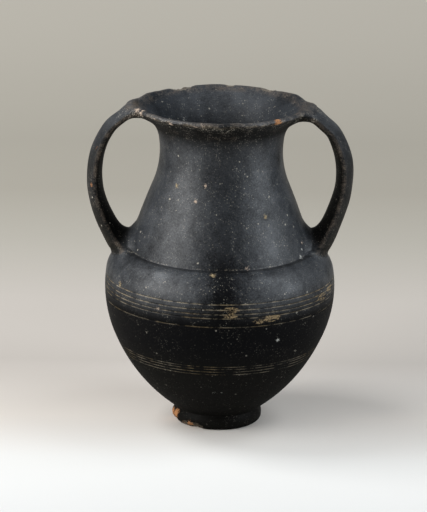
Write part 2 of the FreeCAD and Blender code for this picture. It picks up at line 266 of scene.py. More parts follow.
def geometry_tree(name, numbers, objects):
    """Empty geometry tree with named inputs; gives its nodes and a wire for each input."""
    tree = bpy.data.node_groups.new(name, "GeometryNodeTree")
    tree.interface.new_socket("Geometry", in_out="OUTPUT", socket_type="NodeSocketGeometry")
    for label in objects:
        tree.interface.new_socket(label, in_out="INPUT", socket_type="NodeSocketObject")
    for label, value in numbers.items():
        kind = "NodeSocketInt" if isinstance(value, int) else "NodeSocketFloat"
        tree.interface.new_socket(label, in_out="INPUT", socket_type=kind).default_value = value
    nodes = Nodes(tree)
    start = nodes.add("NodeGroupInput")
    return nodes, {label: start.also(label) for label in [*objects, *numbers]}


def grow(name, tree, objects):
    """Plain mesh object that a geometry tree makes from the objects it reads."""
    seed = bpy.data.objects.new(name + "_seed", bpy.data.meshes.new(name + "_seed"))
    bpy.context.scene.collection.objects.link(seed)
    modifier = seed.modifiers.new("tree", "NODES")
    modifier.node_group = tree
    for item in tree.interface.items_tree:
        if item.in_out == "INPUT" and item.name in objects:
            modifier[item.identifier] = objects[item.name]
    evaluated = seed.evaluated_get(bpy.context.evaluated_depsgraph_get())
    data = bpy.data.meshes.new_from_object(evaluated)
    data.name = name
    piece = bpy.data.objects.new(name, data)
    bpy.context.scene.collection.objects.link(piece)
    bpy.data.objects.remove(seed)
    return piece


def read(nodes, geometry, value, index, kind):
    """What a vertex of another mesh holds."""
    return nodes.add(
        "GeometryNodeSampleIndex",
        {"data_type": kind, "domain": "POINT", "clamp": True},
        {"Geometry": geometry, "Value": value, "Index": index},
    )


def named(nodes, label, kind):
    """What the vertices hold under a label."""
    return nodes.add("GeometryNodeInputNamedAttribute", {"data_type": kind}, {"Name": label})


def finish_tree(nodes, geometry, material):
    """Ends a geometry tree with real faces of the material."""
    real = nodes.add("GeometryNodeRealizeInstances", None, {"Geometry": geometry})
    made = nodes.add("GeometryNodeSetMaterial", None, {"Geometry": real, "Material": material})
    end = nodes.tree.nodes.new("NodeGroupOutput")
    nodes.tree.links.new(made.socket, end.inputs[0])


def wheel_tree(material, rows):
    """Turns the half section round the axis: a grid with a column for each step of the turn."""
    nodes, given = geometry_tree(
        "wheel",
        {"Segments": SEGMENTS, "Line Depth": LINE_DEPTH * MM, "Line Fading": 0.75, "Grip": 24.0},
        ["Half Section"],
    )
    source = nodes.add(
        "GeometryNodeObjectInfo", None, {"Object": given["Half Section"]}, output="Geometry"
    )
    grid = nodes.add(
        "GeometryNodeMeshGrid", None, {"Vertices X": given["Segments"] + 1, "Vertices Y": rows}
    )
    index = nodes.add("GeometryNodeInputIndex")
    row = nodes.math("MODULO", index, rows)
    column = nodes.math("FLOOR", (index + 0.5) / rows)
    turn = column / given["Segments"] * math.tau
    place = read(nodes, source, nodes.add("GeometryNodeInputPosition"), row, "FLOAT_VECTOR")
    out = read(nodes, source, named(nodes, "out", "FLOAT_VECTOR"), row, "FLOAT_VECTOR")
    line = read(nodes, source, named(nodes, "line", "FLOAT"), row, "FLOAT")
    ring = nodes.add(
        "ShaderNodeCombineXYZ",
        None,
        {"X": nodes.math("COSINE", turn), "Y": nodes.math("SINE", turn), "Z": row * 0.35},
    )
    fade = nodes.add(
        "ShaderNodeTexNoise", {"noise_dimensions": "3D"}, {"Vector": ring, "Scale": 2.3, "Detail": 3.0}
    )
    grip = nodes.add(
        "ShaderNodeTexNoise", {"noise_dimensions": "3D"}, {"Vector": ring, "Scale": given["Grip"]}
    )
    pressed = nodes.math("MULTIPLY_ADD", fade - 0.5, given["Line Fading"] * 2.4, 0.75, clamp=True)
    depth = line * given["Line Depth"] * pressed * (grip * 0.5 + 0.75)
    sunk = nodes.add(
        "ShaderNodeVectorMath", {"operation": "MULTIPLY_ADD"}, {0: out, 1: depth * -1.0, 2: place}
    )
    turned = nodes.add(
        "ShaderNodeVectorRotate", {"rotation_type": "Z_AXIS"}, {"Vector": sunk, "Angle": turn}
    )
    spun = nodes.add("GeometryNodeSetPosition", None, {"Geometry": grid, "Position": turned})
    kept = nodes.add(
        "GeometryNodeStoreNamedAttribute",
        {"data_type": "FLOAT", "domain": "POINT"},
        {"Geometry": spun, "Name": "line", "Value": line * (pressed * 0.6 + 0.4)},
    )
    closed = nodes.add("GeometryNodeMergeByDistance", None, {"Geometry": kept, "Distance": 0.001 * MM})
    finish_tree(nodes, closed, material)
    return nodes.tree


# The clay's surface: fired black and burnished above the lines, with a bluish haze that is partly the
# clay's own and partly painted sheen, duller and browner below them. It is worn pale at the edges, and
# specks and soil lie on it and in the lines. Some of its shading is painted: shade on faces turned down, on
# the straps' inner faces, in the crease and down the middle, and light inside the mouth and on the straps'
# tops.
BLACK = (0.0013, 0.0014, 0.0017, 1.0)
BROWN = (0.0062, 0.0058, 0.0040, 1.0)
# bluish haze: partly the clay's own, partly painted sheen
HAZE_AND_SHEEN = (0.0298, 0.0338, 0.0395, 1.0)
# paler haze: painted light, for the mouth's inside and the straps' tops
PAINTED_LIGHT_HAZE = (0.060, 0.064, 0.070, 1.0)
WORN = (0.105, 0.082, 0.062, 1.0)
BREAK = (0.155, 0.130, 0.100, 1.0)
DEPOSIT = (0.36, 0.31, 0.23, 1.0)
SPECK = (0.38, 0.355, 0.300, 1.0)
MARK_COLORS = {
    "orange": (0.40, 0.19, 0.085, 1.0),
    "pale": (0.46, 0.36, 0.28, 1.0),
    "ochre": (0.32, 0.245, 0.140, 1.0),
    "white": (0.44, 0.44, 0.41, 1.0),
    "smear": (0.25, 0.185, 0.105, 1.0),
}
# marks: how much lower than wide a smear is, how far a ragged edge wanders, how soft the edge is
SMEAR_SQUASH = 2.6
MARK_WANDER = 6.0
MARK_EDGE = 0.7
# spalls and stains: where each lies and how far it reaches, in millimetres
MARKS = {
    "orange": [
        (19.0, -22.4, 114.2, 1.7), (-44.3, -6.8, 100.6, 1.2), (-44.9, -6.8, 87.3, 0.9),
        (-15.4, -2.5, 2.4, 2.4), (-14.6, -6.0, 3.6, 1.9), (-10.2, -12.4, 0.9, 1.7),
        (-12.4, -10.6, 0.6, 1.6), (27.6, -8.6, 113.4, 1.3),
    ],
    "pale": [
        (-28.8, -8.4, 114.4, 1.5), (-27.2, -10.6, 114.2, 1.2), (-17.4, -23.6, 113.4, 1.4),
        (-22.6, -18.6, 113.9, 0.9), (-8.8, -28.2, 113.6, 1.0), (-6.4, -28.2, 114.4, 0.8),
        (9.4, -30.6, 64.7, 0.75), (-8.8, -22.6, 85.8, 0.75), (-5.4, -21.7, 91.3, 0.65),
        (17.5, -23.2, 113.2, 0.8), (28.6, -11.0, 68.3, 0.7), (-21.0, -34.4, 50.8, 0.8),
    ],
    "ochre": [
        (-2.3, -34.6, 63.2, 1.1), (15.7, -21.3, 80.4, 1.1), (-15.1, -17.2, 89.9, 1.0),
        (-1.0, 26.0, 111.6, 1.1), (-34.5, -20.4, 55.2, 1.0),
    ],
    "smear": [
        (4.2, -40.0, 52.4, 2.8), (3.6, -40.1, 50.4, 2.4), (18.0, -36.1, 48.6, 3.6),
        (13.6, -37.9, 48.0, 2.6), (35.5, -18.8, 51.2, 3.4), (38.0, -12.6, 52.6, 3.0),
    ],
    "white": [
        (28.4, -12.6, 66.6, 0.8), (28.2, -14.9, 64.4, 0.9), (-7.4, 25.0, 108.0, 0.5),
        (20.4, -33.6, 39.9, 0.7), (-20.6, 9.0, 108.6, 0.6), (-13.0, 15.0, 106.0, 0.6),
        (1.4, -29.0, 18.8, 0.5), (-1.6, -29.0, 18.8, 0.5),
    ],
}

# heights: where the clay turns brown, where the burnish and the neck begin, where the crease gets its
# painted shade and a painted highlight just above it, where the painted light inside the mouth begins, the
# nibbled band under the lip, and the worn lip
BROWN_FROM = (38.0, 26.0)
BURNISH_FROM = (47.0, 57.0)
NECK_FROM = (63.0, 70.0)
CREASE_AT = 63.75
CREASE_HIGHLIGHT_AT = 64.2
MOUTH_FROM = (95.0, 106.0)
NIBBLED_FROM = (110.6, 112.4)
NIBBLED_TO = (114.9, 114.2)
WORN_LIP_FROM = (113.0, 114.2)
# specks: size of the cell that each lies in, largest radius, share of the cells that hold one
POWDER = (0.48, 0.20, 0.50)
DUST = (0.95, 0.27, 0.75)
GRIT = (3.4, 0.44, 0.45)
COAT_ROUGHNESS = 0.46
BUMP_HEIGHT = 0.16


def between(nodes, value, low, high):
    """Runs from 0 to 1 as the value goes from low to high."""
    span = high - low
    return nodes.math("MULTIPLY_ADD", value, 1 / span, -low / span, clamp=True)


def cloud(nodes, vector, size, detail=3.0):
    """Noise around 0.5 with lumps of about the size given in millimetres."""
    inputs = {"Vector": vector, "Scale": 1 / size, "Detail": detail, "Roughness": 0.62}
    return nodes.add("ShaderNodeTexNoise", None, inputs)


def blend(nodes, factor, below, above):
    """Colour above laid over the one below, as thickly as the factor says."""
    return nodes.add("ShaderNodeMix", {"data_type": "RGBA"}, {0: factor, 6: below, 7: above}, output=2)


def stretched(nodes, vector, shares):
    """A place with each axis multiplied by its share."""
    return nodes.add("ShaderNodeVectorMath", {"operation": "MULTIPLY"}, {0: vector, 1: shares})


def specks(nodes, vector, cell, size, chance):
    """Small round grains, at most one in each cell, of up to the size given as a radius."""
    inputs = {"Vector": vector, "Scale": 1 / cell}
    near = nodes.add("ShaderNodeTexVoronoi", None, inputs, output="Distance")
    pick = nodes.add("ShaderNodeSeparateColor", None, {"Color": near.also("Color")}, output="Red")
    here = nodes.math("LESS_THAN", pick.also("Green"), chance)
    return between(nodes, (pick * 0.65 + 0.35) * size * here - near * cell, 0.0, 0.1)


def marks(nodes, vector, ragged, spots, squash):
    """Ragged patches round the spots, lower than they are wide by the squash."""
    ends = {0: stretched(nodes, vector, (1.0, 1.0, squash))}
    most = -9.0
    for x, y, z, reach in spots:
        ends[1] = (x, y, z * squash)
        away = nodes.add("ShaderNodeVectorMath", {"operation": "DISTANCE"}, ends, output="Value")
        most = nodes.math("MAXIMUM", most, reach - away)
    return between(nodes, most + (ragged - 0.52) * MARK_WANDER, 0.0, MARK_EDGE)


def clay_material(name):
    """Black burnished clay."""
    material = bpy.data.materials.new(name)
    material.use_nodes = True
    material.node_tree.nodes.clear()
    nodes = Nodes(material.node_tree)
    here = nodes.add("ShaderNodeTexCoord", output="Object")
    spot = nodes.add("ShaderNodeVectorMath", {"operation": "SCALE"}, {"Vector": here, "Scale": 1 / MM})
    height = nodes.add("ShaderNodeSeparateXYZ", None, {"Vector": spot}, output="Z")
    normal = nodes.add("ShaderNodeNewGeometry", output="Normal")
    upwards = nodes.add("ShaderNodeSeparateXYZ", None, {"Vector": normal}, output="Z")
    down = between(nodes, upwards, -0.05, -0.5)
    held = {
        label: nodes.add("ShaderNodeAttribute", {"attribute_name": label}, output="Fac")
        for label in ("line", "edge", "broken", "strap")
    }
    strap = held["strap"]
    flattened = stretched(nodes, spot, (0.12, 0.12, 1.0))
    broad = cloud(nodes, spot, 14.0)
    patchy = cloud(nodes, spot, 3.6, 5.0)
    fine = cloud(nodes, spot, 0.55, 4.0)
    wheel = cloud(nodes, flattened, 0.8, 3.0)
    ragged = fine * 0.6 + patchy * 0.4
    jitter = nodes.add("ShaderNodeTexNoise", None, {"Vector": spot, "Scale": 1.6}, output="Color")
    loose = nodes.add(
        "ShaderNodeVectorMath", {"operation": "MULTIPLY_ADD"}, {0: jitter, 1: (0.7, 0.7, 0.7), 2: spot}
    )

    upper = between(nodes, height, *BURNISH_FROM)
    flat = stretched(nodes, spot, (1.0, 1.0, 0.0))
    spoke = nodes.add("ShaderNodeVectorMath", {"operation": "NORMALIZE"}, {0: flat})
    outwards = nodes.add(
        "ShaderNodeVectorMath", {"operation": "DOT_PRODUCT"}, {0: spoke, 1: normal}, output="Value"
    )
    turned_in = between(nodes, outwards, 0.25, -0.35)
    # Painted shade: faces turned down and the straps' faces turned in towards the neck lose the haze colour
    # and so get darker; they get less coat as well.
    shut_in = strap * turned_in
    dull_and_shaded = nodes.math("MAXIMUM", down, shut_in)
    aside = nodes.add("ShaderNodeSeparateXYZ", None, {"Vector": spot}, output="X")
    # Painted shade: a band down the middle, front and back, loses much of its haze colour, most below the
    # neck; its coat is thinned there too.
    middle = between(nodes, nodes.math("ABSOLUTE", aside - 1.5) + (ragged - 0.5) * 14.0, 12.0, 2.0)
    haze_kept_in_middle = 1.0 - middle * (1.0 - turned_in) * (0.92 - between(nodes, height, *NECK_FROM) * 0.5)
    # Painted shade: the straps' faces that do not look upwards keep less haze, so their tops stay paler.
    steep = strap * between(nodes, upwards, 0.75, 0.1)
    # Painted sheen: the bluish haze above the lines stands partly for the lamps' sheen and is partly the
    # clay's own.
    haze_and_sheen = upper * (1.0 - dull_and_shaded * 0.85) * haze_kept_in_middle * (1.0 - steep * 0.8)
    haze_and_sheen = haze_and_sheen * between(nodes, broad * 0.45 + ragged * 0.55, 0.30, 0.60)
    burnish = (upper * 0.98 + 0.02) * (1.0 - dull_and_shaded * 0.92) * (1.0 - strap * 0.7) * (1.0 - turned_in * 0.9)
    coat_cut_in_middle = middle * (between(nodes, height, *reversed(NECK_FROM)) * 0.5 + 0.45)
    burnish = burnish * between(nodes, broad * 0.35 + ragged * 0.65, 0.28, 0.60) * (1.0 - coat_cut_in_middle)
    brownish = between(nodes, height, *BROWN_FROM) * 0.4 + down * upper * 0.6 + strap * 0.4
    color = blend(nodes, nodes.math("MINIMUM", brownish, 1.0), BLACK, BROWN)
    # Painted light: the haze is paler on the middle of the mouth's inside and on the straps' upward faces.
    flank = between(nodes, nodes.math("ABSOLUTE", aside), 6.0, 20.0)
    mouth = turned_in * (1.0 - strap) * between(nodes, height, *MOUTH_FROM) * (1.0 - flank)
    paler = nodes.math("MAXIMUM", mouth, strap * between(nodes, upwards, 0.35, 0.85))
    color = blend(nodes, haze_and_sheen, color, blend(nodes, paler, HAZE_AND_SHEEN, PAINTED_LIGHT_HAZE))
    color = blend(nodes, between(nodes, ragged, 0.54, 0.68) * (strap * 0.24 + 0.01), color, WORN)
    color = blend(nodes, between(nodes, ragged, 0.53, 0.64) * down * upper * 0.30, color, WORN)

    powder = specks(nodes, loose, *POWDER)
    dust = specks(nodes, loose, *DUST)
    grit = specks(nodes, loose, *GRIT)
    dense = between(nodes, broad * 0.35 + patchy * 0.65, 0.45, 0.58) * 0.90 + 0.10
    strewn = nodes.math("MAXIMUM", powder * 0.5, dust * 0.6) * dense
    speckled = nodes.math("MAXIMUM", strewn, grit * 0.8, clamp=True)
    color = blend(nodes, speckled * (upper * 0.5 + 0.4) * (1.0 - down * 0.4), color, SPECK)

    lip = between(nodes, height, *WORN_LIP_FROM)
    rubbed_bare = between(nodes, patchy * 0.5 + fine * 0.5, 0.44, 0.60)
    arris = nodes.math("MAXIMUM", held["edge"], lip * 0.8) * rubbed_bare
    color = blend(nodes, arris * 0.7, color, WORN)
    lip_band = between(nodes, height, *NIBBLED_FROM) * between(nodes, height, *NIBBLED_TO)
    nibbled = lip_band * (1.0 - turned_in) * between(nodes, fine * 0.7 + patchy * 0.3, 0.56, 0.62)
    color = blend(nodes, nibbled * 0.7, color, SPECK)
    raw = held["broken"] * between(nodes, fine * 0.5 + patchy * 0.5, 0.36, 0.58)
    color = blend(nodes, raw * 0.8, color, BREAK)
    crusted = between(nodes, patchy * 0.7 + fine * 0.3, 0.43, 0.58)
    dirt = between(nodes, held["line"], 0.15, 0.6) * crusted
    soil = blend(nodes, between(nodes, broad, 0.42, 0.58), MARK_COLORS["ochre"], DEPOSIT)
    color = blend(nodes, dirt * (upper * 0.55 + 0.28), color, soil)
    # Painted shade: a thin dark line along the crease at the foot of the neck.
    crease = between(nodes, nodes.math("ABSOLUTE", height - CREASE_AT), 0.30, 0.12) * (1.0 - strap)
    color = blend(nodes, crease * 0.6, color, BLACK)
    # Painted highlight: a broken pale line along the upper edge of the crease, in the colour of the soil.
    crease_highlight = between(nodes, nodes.math("ABSOLUTE", height - CREASE_HIGHLIGHT_AT), 0.28, 0.10) * (1.0 - strap)
    color = blend(nodes, crease_highlight * between(nodes, ragged, 0.52, 0.62) * 0.4, color, DEPOSIT)
    soiled = dirt
    streaks = fine * 0.5 + wheel * 0.5
    for kind, spots in MARKS.items():
        if kind == "smear":
            torn = between(nodes, streaks, 0.45, 0.55)
            mask = marks(nodes, spot, streaks, spots, SMEAR_SQUASH) * torn
        else:
            mask = marks(nodes, spot, ragged, spots, 1.0)
        color = blend(nodes, mask * 0.85, color, MARK_COLORS[kind])
        soiled = nodes.math("MAXIMUM", soiled, mask)

    matt = nodes.math("MAXIMUM", soiled, speckled, clamp=True)
    relief = fine * 0.35 + patchy * 0.5 + wheel * 0.55 + speckled * 0.25 - held["broken"] * fine * 0.8
    bumps = {"Strength": 0.5, "Distance": BUMP_HEIGHT * MM, "Height": relief}
    bump = nodes.add("ShaderNodeBump", None, bumps)
    roughness = nodes.math("MULTIPLY_ADD", down, 0.2, patchy * 0.25 + 0.42 + matt * 0.3, clamp=True)
    surface = nodes.add(
        "ShaderNodeBsdfPrincipled",
        None,
        {
            "Base Color": color,
            "Roughness": roughness,
            "Specular IOR Level": 0.04,
            "Coat Weight": nodes.math("MULTIPLY", burnish, 1.0 - matt, clamp=True),
            "Coat Roughness": COAT_ROUGHNESS,
            "Coat IOR": 1.5,
            "Normal": bump,
        },
    )
    end = nodes.tree.nodes.new("ShaderNodeOutputMaterial")
    nodes.tree.links.new(surface.socket, end.inputs["Surface"])
    return material


clay = clay_material("black_clay")
half_section, row_count = section_object("half_section")
vessel = grow("vessel", wheel_tree(clay, row_count), {"Half Section": half_section})
bpy.data.objects.remove(half_section)


# Wear of the thrown form: the wall is a little out of round, the lip is uneven and chipped at the
# back, its lower edge is nibbled at the front, and the foot ring is spread and broken on the left.
OVAL = 0.10
THREE_LOBED = 0.06
RIGHT_BULGE = 0.42
FOOT_SPREAD = 0.75
LIP_ZONE_RADIUS = 27.0
LIP_ZONE_HEIGHT = 111.2
RIM_RADIUS = 29.0
RIM_WANDER = 0.16
BITE_DEPTH = 0.55
BACK_RISE = 0.3
STRAP_RISE = 0.85
CHIP_ROUGHNESS = 0.05
CHIPS = [
    # angle, radius and height of the edge, width, depth, how far the ball leans outwards
    (121.0, 28.9, 115.0, 8.2, 0.95, 0.0),
    (113.0, 29.3, 115.0, 3.0, 0.50, 20.0),
    (84.5, 28.9, 115.0, 3.2, 0.45, 0.0),
    (55.0, 28.9, 115.0, 5.2, 0.65, 0.0),
    (47.0, 29.2, 115.0, 2.4, 0.45, 15.0),
    (262.0, 29.9, 113.9, 2.2, 0.35, 100.0),
    (249.0, 29.9, 113.8, 2.8, 0.40, 110.0),
    (288.0, 29.9, 113.8, 2.6, 0.35, 110.0),
    (197.0, 14.6, 0.2, 4.6, 0.80, 125.0),
    (239.0, 14.4, 0.1, 6.6, 0.80, 130.0),
    (222.0, 15.0, 0.6, 3.0, 0.45, 115.0),
]


def points_of(piece):
    """Vertex places of a piece in millimetres."""
    places = np.empty(len(piece.data.vertices) * 3)
    piece.data.vertices.foreach_get("co", places)
    return places.reshape(-1, 3) / MM


def values_of(piece, label):
    """A number that each vertex of a piece holds, or 0 for all where it holds none."""
    values = np.zeros(len(piece.data.vertices))
    if label in piece.data.attributes:
        piece.data.attributes[label].data.foreach_get("value", values)
    return values


def keep_values(piece, label, values):
    """Stores a number on each vertex of a piece."""
    layer = piece.data.attributes.get(label) or piece.data.attributes.new(label, "FLOAT", "POINT")
    layer.data.foreach_set("value", np.asarray(values, dtype=np.float32))


def grain(points, size, seed):
    """Smooth noise from -1 to 1 at points, with lumps of about the size given in millimetres."""
    return np.array([noise.noise(Vector(point / size) + Vector((seed, 0, 0))) for point in points])


def hump(values, middle, spread):
    """Bell curve that is 1 at the middle."""
    return np.exp(-(((values - middle) / spread) ** 2))


def weather(piece):
    """Moves the vessel's vertices to the worn form, and marks where the surface is broken."""
    places = points_of(piece)
    radius = np.hypot(places[:, 0], places[:, 1])
    angle = np.arctan2(places[:, 1], places[:, 0])
    height = places[:, 2]
    across = places[:, :2] / np.maximum(radius, 1e-6)[:, None]
    push = OVAL * np.sin(2 * angle + 0.7) + THREE_LOBED * np.sin(3 * angle + 2.1 + height * 0.06)
    push += RIGHT_BULGE * np.maximum(np.cos(angle), 0) * hump(height, 46, 15)
    push *= np.clip(radius / 12 - 0.6, 0, 1) * np.clip(height / 6, 0, 1)
    left = np.abs(np.angle(np.exp(1j * (angle - math.radians(191)))))
    push += FOOT_SPREAD * hump(left, 0, 0.42) * hump(height, 2.6, 1.9) * (radius > 13)
    edge = (height > LIP_ZONE_HEIGHT) & (radius > LIP_ZONE_RADIUS)
    rim = np.stack([np.cos(angle), np.sin(angle), 0 * angle], 1)[edge] * RIM_RADIUS
    push[edge] += RIM_WANDER * grain(rim, 5.0, 3.0)
    front = np.clip(np.sin(-angle[edge]) * 2 - 0.6, 0, 1) * hump(height[edge], 113.7, 0.9)
    bitten = front * np.clip(2.2 * grain(places[edge], 1.9, 9.0) + 0.25, 0, 1)
    push[edge] -= BITE_DEPTH * bitten
    places[:, :2] += across * push[:, None]
    rise = 0.20 * grain(rim, 9.0, 5.0) + 0.10 * grain(rim, 2.6, 1.0)
    rise += BACK_RISE * hump(angle[edge], math.radians(92), 0.5)
    beside_straps = [hump(angle[edge], math.radians(degrees), 0.30) for degrees in (160, 20)]
    rise += STRAP_RISE * (beside_straps[0] + beside_straps[1])
    places[edge, 2] += rise * np.clip((height[edge] - LIP_ZONE_HEIGHT) / 2, 0, 1)
    broken = np.zeros(len(places))
    broken[edge] = bitten * 0.7
    for turned, out, up, width, depth, lean in CHIPS:
        ball = (width**2 / 4 + depth**2) / (2 * depth)
        turned, lean = math.radians(turned), math.radians(lean)
        out += (ball - depth) * math.sin(lean)
        up += (ball - depth) * math.cos(lean)
        centre = np.array([out * math.cos(turned), out * math.sin(turned), up])
        away = places - centre
        distance = np.linalg.norm(away, axis=1)
        near = np.flatnonzero(distance < ball * 1.12)
        rough = ball * (1 + CHIP_ROUGHNESS * grain(places[near], 0.9, 4.0))
        hit = near[distance[near] < rough]
        rough = rough[distance[near] < rough]
        places[hit] = centre + away[hit] * (rough / distance[hit])[:, None]
        broken[hit] = 1.0
    piece.data.vertices.foreach_set("co", (places * MM).ravel())
    keep_values(piece, "broken", broken)


weather(vessel)


# Strap handles: a lens-shaped pull of clay bent from the lip to the shoulder and pressed on at both
# ends. The path lies in the XZ plane; width and thickness change along it.
STRAPS = {
    "left_strap": {
        "side": -1,
        "path": [(22.5, 113.8), (30.2, 113.1), (34.2, 110.6), (37.3, 108.0), (39.7, 104.9), (42.6, 98.5),
                 (43.9, 89.5), (42.8, 80.7), (39.2, 71.8), (34.8, 64.7), (29.0, 56.7)],
        "thickness": [3.6, 4.3, 3.9, 4.1, 4.5, 5.0, 5.3, 5.8, 6.8, 8.0, 9.0],
    },
    "right_strap": {
        "side": 1,
        "path": [(22.5, 113.6), (30.6, 112.3), (34.9, 109.2), (37.9, 106.5), (39.9, 103.4), (42.3, 96.9),
                 (43.0, 89.5), (41.6, 80.9), (38.0, 71.4), (34.0, 64.0), (28.4, 55.6)],
        "thickness": [4.2, 5.0, 4.8, 5.1, 5.5, 6.0, 6.15, 6.4, 7.1, 8.0, 9.0],
    },
}
STRAP_WIDTHS = [19.0, 17.6, 16.2, 15.6, 15.4, 15.2, 15.2, 15.4, 15.8, 17.0, 18.0]
STRAP_ROWS = 130
STRAP_COLUMNS = 52
CROWN = 0.56
EDGE = 0.8
EDGE_TURN = 0.34
STRAP_LUMPS = 0.14
# One in this many points of a fine line is compared, in this many parts, and the swelling of the clay
# is worked out anew this many times.
LINE_THINNING = 12
PARTS = 40
SWELLING_PASSES = 8


def smooth_run(values, count):
    """The values as a smooth run of that many, by a natural cubic through them."""
    values = np.array(values, float)
    size = len(values)
    matrix = np.eye(size)
    rhs = np.zeros(values.shape)
    for i in range(1, size - 1):
        matrix[i, i - 1 : i + 2] = [1, 4, 1]
        rhs[i] = 3 * (values[i + 1] - 2 * values[i] + values[i - 1])
    bend = np.linalg.solve(matrix, rhs)
    at = np.linspace(0, size - 1, count)
    i = np.minimum(at.astype(int), size - 2)
    t = (at - i).reshape(-1, *[1] * (values.ndim - 1))
    slope = values[i + 1] - values[i] - (2 * bend[i] + bend[i + 1]) / 3
    return values[i] + t * (slope + t * (bend[i] + t * (bend[i + 1] - bend[i]) / 3))


def strap_path(name, strap):
    """The strap's centre line as loose vertices, with the outward direction and sizes at each."""
    path = smooth_run(strap["path"], STRAP_ROWS)
    normal = -outward(path)
    thick = smooth_run(strap["thickness"], STRAP_ROWS)
    wide = smooth_run(STRAP_WIDTHS, STRAP_ROWS)
    side = strap["side"]
    data = bpy.data.meshes.new(name)
    data.from_pydata([(side * r * MM, 0.0, z * MM) for r, z in path], [], [])
    out = data.attributes.new("out", "FLOAT_VECTOR", "POINT")
    out.data.foreach_set("vector", np.stack([side * normal[:, 0], 0 * thick, normal[:, 1]], 1).ravel())
    sizes = data.attributes.new("sizes", "FLOAT_VECTOR", "POINT")
    sizes.data.foreach_set("vector", (np.stack([thick, wide / 2, 0 * thick], 1) * MM).ravel())
    piece = bpy.data.objects.new(name, data)
    bpy.context.scene.collection.objects.link(piece)
    return piece


def strap_tree(material):
    """Carries the lens section along a path: a grid with a column for each step round the section."""
    nodes, given = geometry_tree(
        "strap",
        {
            "Rows": STRAP_ROWS,
            "Columns": STRAP_COLUMNS,
            "Crown": CROWN,
            "Edge": EDGE * MM,
            "Edge Turn": EDGE_TURN,
        },
        ["Path"],
    )
    source = nodes.add("GeometryNodeObjectInfo", None, {"Object": given["Path"]}, output="Geometry")
    grid = nodes.add(
        "GeometryNodeMeshGrid", None, {"Vertices X": given["Columns"] + 1, "Vertices Y": given["Rows"]}
    )
    index = nodes.add("GeometryNodeInputIndex")
    row = nodes.math("MODULO", index, given["Rows"])
    turn = nodes.math("FLOOR", (index + 0.5) / given["Rows"]) / given["Columns"] * math.tau
    place = read(nodes, source, nodes.add("GeometryNodeInputPosition"), row, "FLOAT_VECTOR")
    out = read(nodes, source, named(nodes, "out", "FLOAT_VECTOR"), row, "FLOAT_VECTOR")
    sizes = nodes.add(
        "ShaderNodeSeparateXYZ",
        None,
        {"Vector": read(nodes, source, named(nodes, "sizes", "FLOAT_VECTOR"), row, "FLOAT_VECTOR")},
    )
    thickness, half_width = sizes, sizes.also("Y")
    facing = nodes.math("COSINE", turn)
    flat = nodes.math("ABSOLUTE", facing)
    outer = nodes.math("GREATER_THAN", facing, 0.0)
    share = outer * given["Crown"] + (1.0 - outer) * (1.0 - given["Crown"])
    near_edge = nodes.math("MINIMUM", flat / given["Edge Turn"], 1.0)
    blunt = nodes.math("SQRT", 1.0 - (1.0 - near_edge) * (1.0 - near_edge))
    crown = (thickness * share - given["Edge"]) * flat * flat + given["Edge"] * blunt
    reach = crown * nodes.math("SIGN", facing)
    across = half_width * nodes.math("SINE", turn)
    lifted = nodes.add("ShaderNodeVectorMath", {"operation": "MULTIPLY_ADD"}, {0: out, 1: reach, 2: place})
    sideways = nodes.add("ShaderNodeCombineXYZ", None, {"Y": across})
    moved = nodes.add("ShaderNodeVectorMath", {"operation": "ADD"}, {0: lifted, 1: sideways})
    drawn = nodes.add("GeometryNodeSetPosition", None, {"Geometry": grid, "Position": moved})
    kept = nodes.add(
        "GeometryNodeStoreNamedAttribute",
        {"data_type": "FLOAT", "domain": "POINT"},
        {"Geometry": drawn, "Name": "edge", "Value": nodes.math("SUBTRACT", 1.0, flat * 4.0, clamp=True)},
    )
    finish_tree(nodes, kept, material)
    return nodes.tree


def beyond(line, points):
    """How far points lie outside a line of the half section, and which way is out there."""
    radius = np.hypot(points[:, 0], points[:, 1])
    flat = np.stack([radius, points[:, 2]], 1)
    stations, sides = line[::LINE_THINNING], outward(line)[::LINE_THINNING]
    parts = np.array_split(flat, PARTS)
    nearest = np.concatenate(
        [np.argmin(((part[:, None] - stations[None]) ** 2).sum(2), 1) for part in parts]
    )
    away = ((flat - stations[nearest]) * sides[nearest]).sum(1)
    across = points[:, :2] / np.maximum(radius, 1e-6)[:, None]
    out = np.column_stack([across * sides[nearest][:, :1], sides[nearest][:, 1]])
    return away, out


def swelling(away, facing, reach):
    """How far clay rises towards a surface near it: a quarter of the reach where the two cross."""
    rise = np.zeros(len(away))
    for _ in range(SWELLING_PASSES):
        gap = np.maximum(away - rise * (1 - facing), 0)
        rise = np.maximum(reach - gap, 0) ** 2 / (4 * reach)
    return rise


# How far the clay is smoothed up where a strap is pressed on: little on the strap's outer side, more
# in the loop, first at the lip and then at the shoulder.
OUTER_REACH = 1.8
LOOP_REACH = [5.5, 7.4]


def reach_at(facing, row):
    """Reach of the smoothing for a place of the strap, by its side and its row."""
    loop = LOOP_REACH[0] + (LOOP_REACH[1] - LOOP_REACH[0]) * (row > STRAP_ROWS / 2)
    inward = np.clip(0.45 - 0.95 * facing, 0, 1)
    return OUTER_REACH + (loop - OUTER_REACH) * inward


